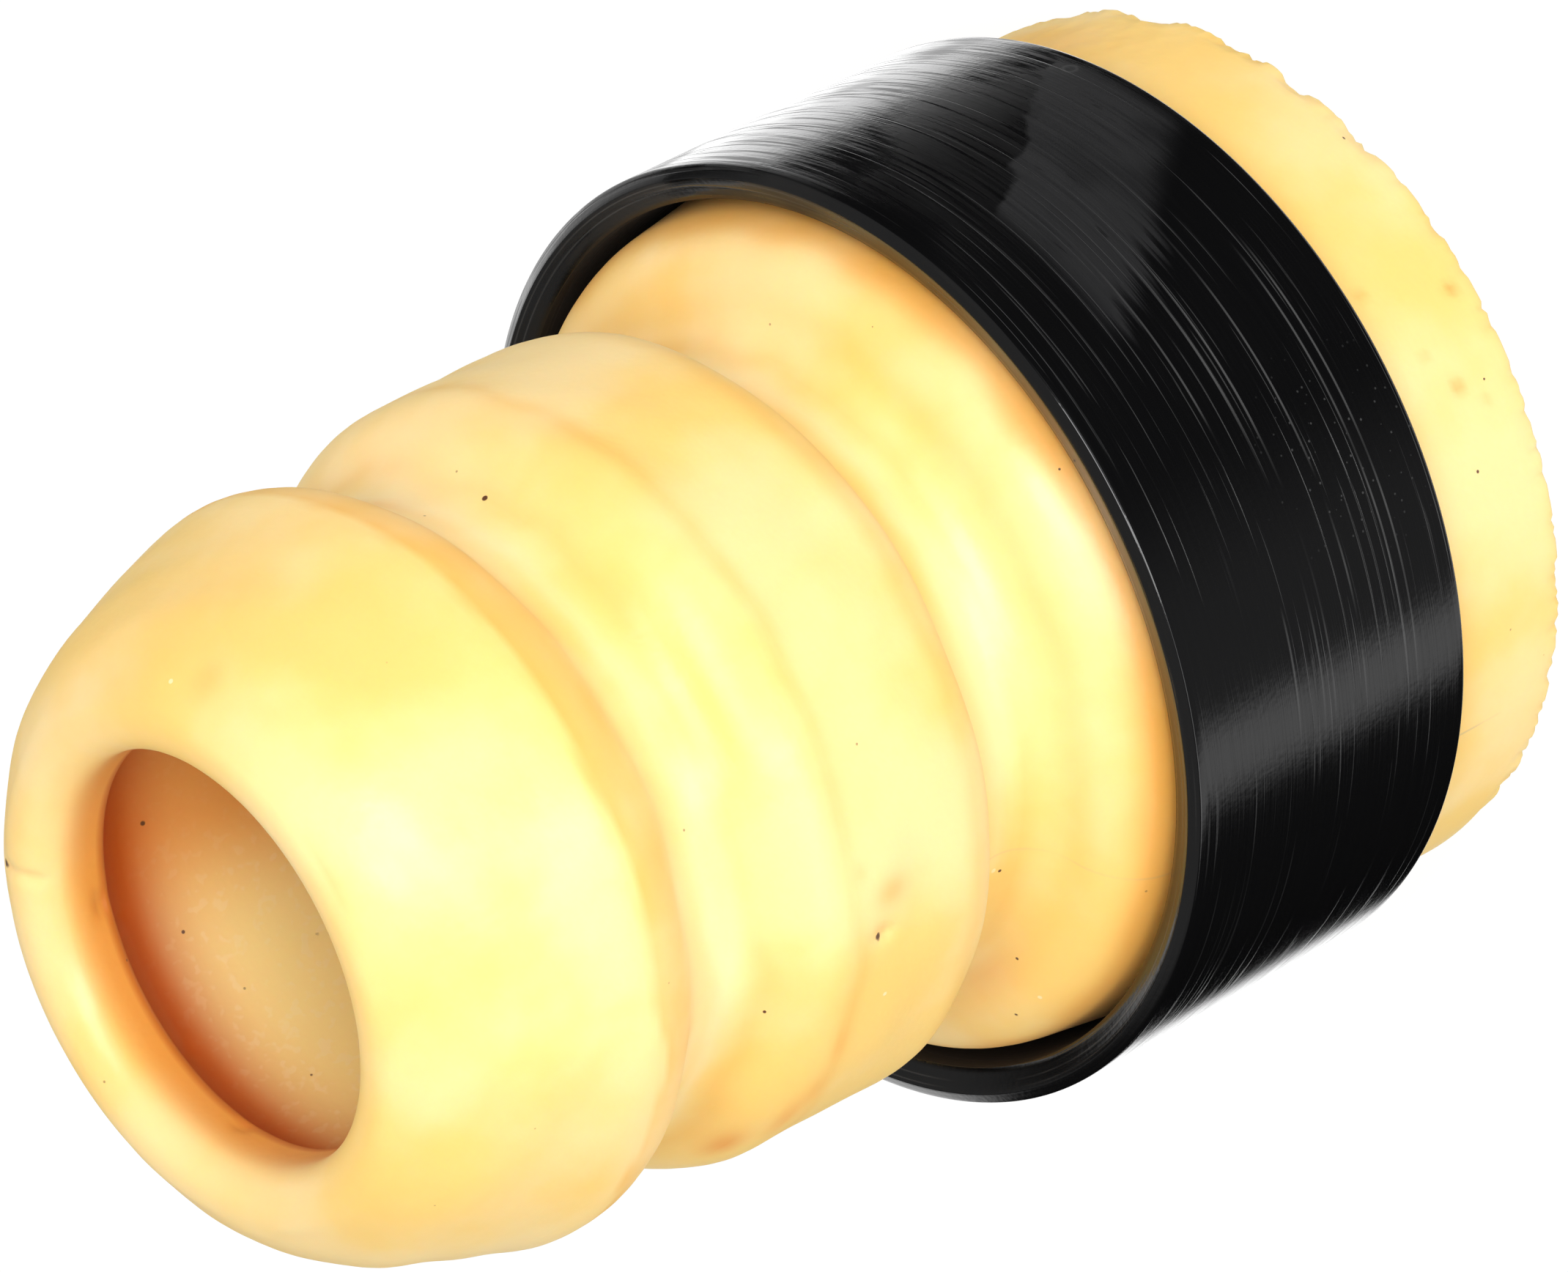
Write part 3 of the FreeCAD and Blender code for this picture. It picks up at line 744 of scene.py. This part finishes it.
colour = tint(tree, calc(tree, "MULTIPLY", pepper_mask, 0.6), colour, dirt)
colour = tint(tree, dots, colour, dirt)
flecks = specks(tree, place, ragged, pale_marks)
crumbs = calc(tree, "MULTIPLY", ramp(tree, ragged, 0.56, 0.68), read(tree, "deep_bore_light"))
crumbs = calc(tree, "MULTIPLY", crumbs, calc(tree, "SUBTRACT", 1.0, masks["undercut_shadow"]))
flecks = calc(tree, "MAXIMUM", flecks, calc(tree, "MULTIPLY", crumbs, 0.35))
colour = tint(tree, calc(tree, "MULTIPLY", flecks, 0.6), colour, chalk)
print(len(brown_marks), "brown and", len(pale_marks), "pale marks")

# %% The parting line
part_turn = math.radians(-141.5)
split = put(tree, "VectorMath", {0: place, 1: (-math.sin(part_turn), math.cos(part_turn), 0)},
            operation="DOT_PRODUCT").outputs["Value"]
wander = calc(tree, "MULTIPLY_ADD", clouds, 0.24, -0.12)
line = ramp(tree, calc(tree, "ABSOLUTE", calc(tree, "ADD", split, wander)), 0.13, 0.03)
line = calc(tree, "MULTIPLY", line, ramp(tree, clouds, 0.42, 0.62))
line = calc(tree, "MULTIPLY", line, read(tree, "seam"))
colour = tint(tree, calc(tree, "MULTIPLY", line, 0.55), colour, grey)
print("parting line at", round(math.degrees(part_turn), 1), "degrees and opposite")

# %% [markdown]
# ## The skin of the foam
# The lobes have a soft gloss that dies away towards the outline, which an even roughness can't
# give, because every surface mirrors more at a grazing angle. So Layer Weight makes the skin
# rougher there. A slow swell in the bump breaks the highlights up, and grain dulls them.

# %% Skin of the foam
shine = calc(tree, "MULTIPLY_ADD", clouds, 0.22, 0.27)
grazing = put(tree, "LayerWeight", {"Blend": 0.5}).outputs["Facing"]
shine = calc(tree, "MULTIPLY_ADD", ramp(tree, grazing, 0.35, 0.9), 0.55, shine)
shine = calc(tree, "MULTIPLY_ADD", read(tree, "deep_bore_light"), 0.25, shine)
shine = calc(tree, "MULTIPLY_ADD", read(tree, "foot"), 0.2, shine)
skin_grain = use(tree, grain, Place=place, Size=0.35, Depth=0.02)
swell = calc(tree, "MULTIPLY", noise(tree, place, 5.0, 0.0), 0.06)
relief = calc(tree, "ADD", skin_grain, swell)
foam_bump = put(tree, "Bump", {"Height": relief, "Distance": mm, "Strength": 1.0})
tree.links.new(colour, shader.inputs["Base Color"])
tree.links.new(shine, shader.inputs["Roughness"])
tree.links.new(foam_bump.outputs["Normal"], shader.inputs["Normal"])
shader.inputs["Subsurface Weight"].default_value = 0.35
shader.inputs["Subsurface Radius"].default_value = (1.0, 0.55, 0.25)
shader.inputs["Subsurface Scale"].default_value = 2.5 * mm
shader.inputs["Specular IOR Level"].default_value = 0.7
buffer_piece.data.materials.append(foam)
print(foam.name, "has", len(tree.nodes), "nodes")

# %% [markdown]
# ## The plastic ring
# Black plastic shows only what it reflects. It was turned in its mould and handled since, so
# fine scratches run round it. A stretched noise in straight coordinates would make streaks
# that leave the surface on the far side. So it is read in cylinder coordinates, the azimuth
# and the height, and stretched along the azimuth.

# %% Scratches of the ring
plastic, tree, shader = add_material("black_plastic")
place = in_millimetres(tree)
parts = put(tree, "SeparateXYZ", {0: place}).outputs
turn_back = calc(tree, "MULTIPLY", parts["Y"], -1.0)
turned = calc(tree, "ARCTAN2", parts["X"], turn_back)


def scratches(tree, length, width, low, high):
    """Streaks that long and wide in millimetres, from noise stretched round the axis."""
    stretched = put(tree, "CombineXYZ", {"X": calc(tree, "MULTIPLY", turned, 30.0 / length),
                                         "Y": calc(tree, "DIVIDE", parts["Z"], width)})
    streak = put(tree, "TexNoise", {"Vector": stretched.outputs[0], "Scale": 1.0, "Detail": 2.0})
    return ramp(tree, streak.outputs["Fac"], low, high)


fine_scratch = scratches(tree, 12.0, 0.10, 0.35, 0.75)
long_scratch = scratches(tree, 26.0, 0.22, 0.62, 0.72)
clouded = noise(tree, place, 6.0)
drag = scratches(tree, 16.0, 0.42, 0.4, 0.65)
drag = calc(tree, "MULTIPLY", drag, ramp(tree, clouded, 0.45, 0.6))
print("three kinds of scratch, up to 26 mm long")

# %% [markdown]
# ## The dull patch, the turned lines and the dust
# The ring's top has a dull patch with a slanting, curled edge. Fine lines were turned into the
# wall and the front face. On the wall they are painted lighter only in a band that faces the
# key lamp and the camera, which is a painted highlight. Each of these is a mask: a band in
# height times a band in azimuth, with noise to break its edge.

# %% The dull patch
patch_middle = 32.6
patch_slope = 0.7
patch_half = 5.2
patch_low = 11.5
patch_high = 26.5
patch_across = calc(tree, "MULTIPLY_ADD", parts["Z"], patch_slope, -patch_middle)
patch_across = calc(tree, "MULTIPLY_ADD", turned, ring_outer_radius, patch_across)
curl = calc(tree, "MULTIPLY_ADD", noise(tree, place, 1.2, 3.0), 3.0, -1.5)
patch_right = ramp(tree, calc(tree, "ADD", patch_across, curl), patch_half, patch_half - 0.7)
patch_left = ramp(tree, calc(tree, "MULTIPLY_ADD", drag, 2.5, patch_across), -patch_half - 1.5,
                  1.5 - patch_half)
patch = calc(tree, "MULTIPLY", patch_right, patch_left)
patch = calc(tree, "MULTIPLY", patch, ramp(tree, parts["Z"], patch_high + 1, patch_high - 1))
patch = calc(tree, "MULTIPLY", patch, ramp(tree, parts["Z"], patch_low - 0.6, patch_low + 0.6))
mottle = calc(tree, "MULTIPLY_ADD", ramp(tree, clouded, 0.35, 0.62), 0.6, 0.4)
gouges = scratches(tree, 4.0, 0.35, 0.66, 0.72)
mottle = calc(tree, "SUBTRACT", mottle, calc(tree, "MULTIPLY", gouges, 0.5))
patch = calc(tree, "MULTIPLY", patch, calc(tree, "MAXIMUM", mottle, 0.0))
print("dull patch from", patch_low, "to", patch_high, "mm high,", 2 * patch_half, "mm wide")

# %% Turned lines, their painted highlight, and dust
wall_lines = (24.5, 22.4, 21.5, 18.9, 15.4, 14.6)
face_lines = (29.05, 28.6)
dust_centre = spot(ring_outer_radius, -97, 16)
# The wall lines show only in this band, which faces the key lamp and the camera: a painted
# highlight.
glint_band = sector(tree, turned, -0.1, 0.42, 0.2)
glint_band = calc(tree, "MULTIPLY", glint_band, ramp(tree, clouded, 0.4, 0.6))
lines_and_glint = 0.0
for line_height in wall_lines:
    near = calc(tree, "ABSOLUTE", calc(tree, "SUBTRACT", parts["Z"], line_height))
    lines_and_glint = calc(tree, "MAXIMUM", ramp(tree, near, 0.10, 0.04), lines_and_glint)
lines_and_glint = calc(tree, "MULTIPLY", lines_and_glint, glint_band)
across = put(tree, "CombineXYZ", {"X": parts["X"], "Y": parts["Y"]}).outputs[0]
across = put(tree, "VectorMath", {0: across}, operation="LENGTH").outputs["Value"]
for line_radius in face_lines:
    turned_line = sector(tree, across, line_radius, 0.04, 0.03)
    turned_line = calc(tree, "MULTIPLY", turned_line, ramp(tree, clouded, 0.35, 0.6))
    lines_and_glint = calc(tree, "MAXIMUM", lines_and_glint, calc(tree, "MULTIPLY", turned_line, 0.5))
dust = put(tree, "TexVoronoi", {"Vector": place, "Scale": 1.5, "Randomness": 1.0})
dust = ramp(tree, dust.outputs["Distance"], 0.15, 0.07)
dust_spot = put(tree, "VectorMath", {0: place, 1: dust_centre}, operation="DISTANCE")
dust = calc(tree, "MULTIPLY", dust, ramp(tree, dust_spot.outputs["Value"], 8.5, 2.0))
print(len(wall_lines), "lines round the wall and", len(face_lines), "on the front face")

# %% Colour of the ring
black = (0.003, 0.003, 0.0032, 1)
dull_black = (0.022, 0.022, 0.023, 1)
scratch_grey = (0.05, 0.05, 0.05, 1)
scuff_and_glint_grey = (0.07, 0.07, 0.07, 1)
nib = spot(ring_outer_radius, -37.6, 12.1)
plastic_colour = tint(tree, calc(tree, "MULTIPLY", long_scratch, 0.22), black, scratch_grey)
plastic_colour = tint(tree, calc(tree, "MULTIPLY", patch, 0.55), plastic_colour, dull_black)
rag = calc(tree, "MULTIPLY", clouded, 0.5)
nib_rim = use(tree, speck, Place=place, Centre=nib, Radius=0.42, Ragged=rag)
nib_pit = use(tree, speck, Place=place, Centre=nib, Radius=0.26, Ragged=rag)
nib_rim = calc(tree, "SUBTRACT", nib_rim, nib_pit)
# This grey marks the dust, the nib's rim and the turned lines, and on the wall lines it is a
# painted highlight.
marks = calc(tree, "MAXIMUM", calc(tree, "MULTIPLY", dust, 0.8), lines_and_glint)
marks = calc(tree, "MAXIMUM", marks, calc(tree, "MULTIPLY", nib_rim, 0.5))
plastic_colour = tint(tree, calc(tree, "MULTIPLY", marks, 0.8), plastic_colour, scuff_and_glint_grey)
print("a moulding nib", round(nib[2], 1), "mm high on the ring")

# %% Skin of the ring
ring_shine = calc(tree, "MULTIPLY_ADD", fine_scratch, 0.10, 0.10)
ring_shine = calc(tree, "MULTIPLY_ADD", patch, 0.22, ring_shine)
haze = calc(tree, "MULTIPLY", ramp(tree, clouded, 0.42, 0.58), ramp(tree, turned, 0.35, 0.8))
haze = calc(tree, "MULTIPLY", haze, scratches(tree, 9.0, 0.3, 0.2, 0.6))
combed = scratches(tree, 8.0, 0.25, 0.48, 0.62)
combed = calc(tree, "MULTIPLY", combed, ramp(tree, turned, 0.75, 1.1))
haze = calc(tree, "MAXIMUM", haze, calc(tree, "MULTIPLY", combed, 0.9))
ring_shine = calc(tree, "MULTIPLY_ADD", haze, 0.3, ring_shine)
ring_shine = calc(tree, "MULTIPLY_ADD", read(tree, "inside"), 0.5, ring_shine)
ring_relief = calc(tree, "MULTIPLY", fine_scratch, 0.0025)
ring_relief = calc(tree, "MULTIPLY_ADD", long_scratch, -0.010, ring_relief)
ring_grain = use(tree, grain, Place=place, Size=0.2, Depth=0.006)
ring_relief = calc(tree, "ADD", ring_relief, ring_grain)
ring_bump = put(tree, "Bump", {"Height": ring_relief, "Distance": mm, "Strength": 1.0})
tree.links.new(plastic_colour, shader.inputs["Base Color"])
tree.links.new(ring_shine, shader.inputs["Roughness"])
tree.links.new(ring_bump.outputs["Normal"], shader.inputs["Normal"])
shader.inputs["Specular IOR Level"].default_value = 0.5
ring_piece.data.materials.append(plastic)
print(plastic.name, "has", len(tree.nodes), "nodes")

# %% [markdown]
# ## The floor
# The photograph has a plain white background. A white floor would go grey under lamps that
# suit the part, and stronger lamps would burn the foam out. So the sheet glows of its own, and
# the lamps and the room add the rest, which keeps a faint shadow under the part.

# %% Floor
white = (1, 1, 1, 1)
sheet_colour = (0.16, 0.16, 0.16, 1)
sheet_glow = 0.88
half_floor = 3.0
floor_corners = [(-half_floor, -half_floor, 0), (half_floor, -half_floor, 0),
                 (half_floor, half_floor, 0), (-half_floor, half_floor, 0)]
floor_mesh = bpy.data.meshes.new("floor")
floor_mesh.from_pydata(floor_corners, [], [(0, 1, 2, 3)])
floor = bpy.data.objects.new("floor", floor_mesh)
bpy.context.scene.collection.objects.link(floor)
floor.visible_diffuse = False
floor.visible_glossy = False
floor.visible_shadow = False
sheet, tree, shader = add_material("light_table")
shader.inputs["Base Color"].default_value = sheet_colour
shader.inputs["Roughness"].default_value = 1.0
shader.inputs["Specular IOR Level"].default_value = 0.0
shader.inputs["Emission Color"].default_value = white
shader.inputs["Emission Strength"].default_value = sheet_glow
floor.data.materials.append(sheet)
print("floor", 2 * half_floor, "m across")

# %% [markdown]
# ## The room
# The room is plain light all round, which suits the foam. The black ring mirrors more than
# that: bright cards behind the part and at its left, a low bright band and a faint glow in
# front, the table below and a dim ceiling, with darkness between them. Real cards would also
# light the foam and throw shadows. So each card is a sector of bearing or of lift with soft
# edges, and Light Path picks between two backgrounds: the cards for glossy rays, and the plain
# room for all others.

# %% Room
world = bpy.data.worlds.new("room")
world.use_nodes = True
tree = world.node_tree
tree.nodes.clear()
world_end = tree.nodes.new("ShaderNodeOutputWorld")
direction = put(tree, "TexCoord").outputs["Generated"]
parts = put(tree, "SeparateXYZ", {0: direction}).outputs
one_degree = math.pi / 180
bearing = calc(tree, "DIVIDE", calc(tree, "ARCTAN2", parts["Y"], parts["X"]), one_degree)
lift = calc(tree, "DIVIDE", calc(tree, "ARCSINE", parts["Z"]), one_degree)


def card(centre, half, soft, brightness):
    """A white card round a bearing, with its half width and soft edge in degrees."""
    return calc(tree, "MULTIPLY", sector(tree, bearing, centre, half, soft), brightness)


upright = calc(tree, "MAXIMUM", card(76, 38, 5, 1.7), card(-158, 9, 5, 1.0))
upright = calc(tree, "ADD", upright, card(58, 20, 8, 0.8))
upright = calc(tree, "MULTIPLY", upright, ramp(tree, lift, 25, 5))
low_band = calc(tree, "MULTIPLY", card(-118, 50, 14, 2.2), sector(tree, lift, -2, 9, 4))
in_front = calc(tree, "ADD", card(-132, 26, 20, 0.17), low_band)
above = calc(tree, "MULTIPLY", ramp(tree, lift, 25, 45), 0.3)
above_and_below = calc(tree, "ADD", ramp(tree, lift, -50, -62), above)
mirrored = calc(tree, "MAXIMUM", calc(tree, "ADD", upright, in_front), above_and_below)

# %% What each kind of ray sees
path = put(tree, "LightPath").outputs
room_level = 0.70
level = calc(tree, "MULTIPLY_ADD", path["Is Camera Ray"], 1.0 - room_level, room_level)
plain_room = put(tree, "Background", {"Color": white, "Strength": level})
cards = put(tree, "Background", {"Color": white, "Strength": mirrored})
seen = put(tree, "MixShader", {0: path["Is Glossy Ray"], 1: plain_room.outputs[0],
                               2: cards.outputs[0]})
tree.links.new(seen.outputs[0], world_end.inputs["Surface"])
bpy.context.scene.world = world
print("room at", room_level, "for the foam, and white for the camera")

# %% [markdown]
# ## The lamps
# The foam's highlights are tall and soft, so they come from area lamps and not from points. A
# tall softbox stands low in front of the part, and a square one hangs beside the camera, which
# sees neither.


# %% Lamps
def add_softbox(name, bearing, lift, distance, width, tall, power):
    """A rectangular lamp at a bearing and a lift in degrees that faces the part."""
    lamp = bpy.data.lights.new(name, "AREA")
    lamp.shape = "RECTANGLE"
    lamp.size = width
    lamp.size_y = tall
    lamp.energy = power
    box = bpy.data.objects.new(name, lamp)
    turn = math.radians(bearing)
    rise = math.radians(lift)
    away = Vector((math.cos(rise) * math.cos(turn), math.cos(rise) * math.sin(turn),
                   math.sin(rise)))
    box.location = away * distance + Vector((0, 0, top.z / 2))
    box.rotation_euler = away.to_track_quat("Z", "Y").to_euler()
    box.visible_camera = False
    bpy.context.scene.collection.objects.link(box)


add_softbox("key_softbox", -104, 15, 0.6, 0.18, 0.45, 1.7)
add_softbox("top_softbox", -84, 40, 0.6, 0.3, 0.3, 2.1)
bpy.context.scene.view_settings.view_transform = "Standard"
print(len(bpy.data.lights), "softboxes")
